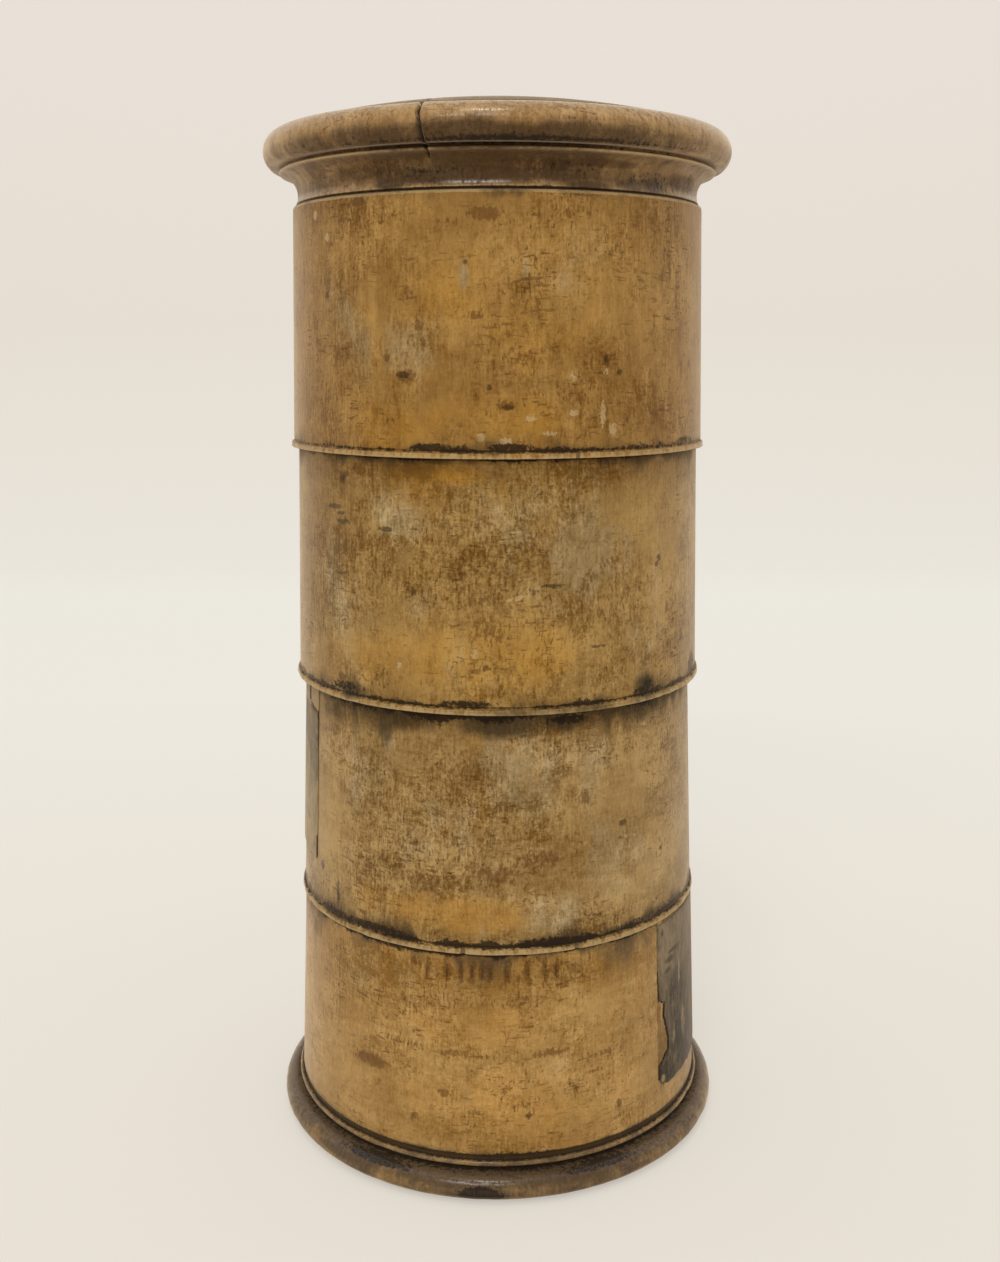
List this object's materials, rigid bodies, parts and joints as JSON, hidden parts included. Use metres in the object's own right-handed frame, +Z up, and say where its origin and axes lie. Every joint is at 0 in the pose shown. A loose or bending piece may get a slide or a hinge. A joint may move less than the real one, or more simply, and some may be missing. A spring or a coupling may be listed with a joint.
{
  "type": "spice tower",
  "caption": "Turned wooden spice tower: a moulded lid over stacked round drums that screw into one another, on a spreading foot, with remains of paper labels.",
  "frame": {"origin": "middle of the underside of the foot, on the surface that the tower stands on", "axes": "+Z up along the turning axis, -Y to the front as pictured, +X to the right"},
  "size_m": [0.086, 0.086, 0.1889],
  "materials": {
    "sycamore": "old waxed sycamore, honey brown, worn and stained, satin",
    "label_paper": "old varnished label paper, darkened and scuffed, satin"
  },
  "bodies": {
    "base": {"base_section": "sycamore", "base_label": "label_paper"},
    "third": {"third_section": "sycamore", "third_label": "label_paper"},
    "second": {"second_section": "sycamore"},
    "top": {"top_section": "sycamore"},
    "lid": {"lid": "sycamore"}
  },
  "joints": [
    {"name": "third_lift", "type": "slide", "parent": "base", "child": "third", "axis": [0, 0, 1], "range_m": [0, 0.06]},
    {"name": "second_lift", "type": "slide", "parent": "third", "child": "second", "axis": [0, 0, 1], "range_m": [0, 0.06]},
    {"name": "top_lift", "type": "slide", "parent": "second", "child": "top", "axis": [0, 0, 1], "range_m": [0, 0.06]},
    {"name": "lid_lift", "type": "slide", "parent": "top", "child": "lid", "axis": [0, 0, 1], "range_m": [0, 0.06]}
  ]
}
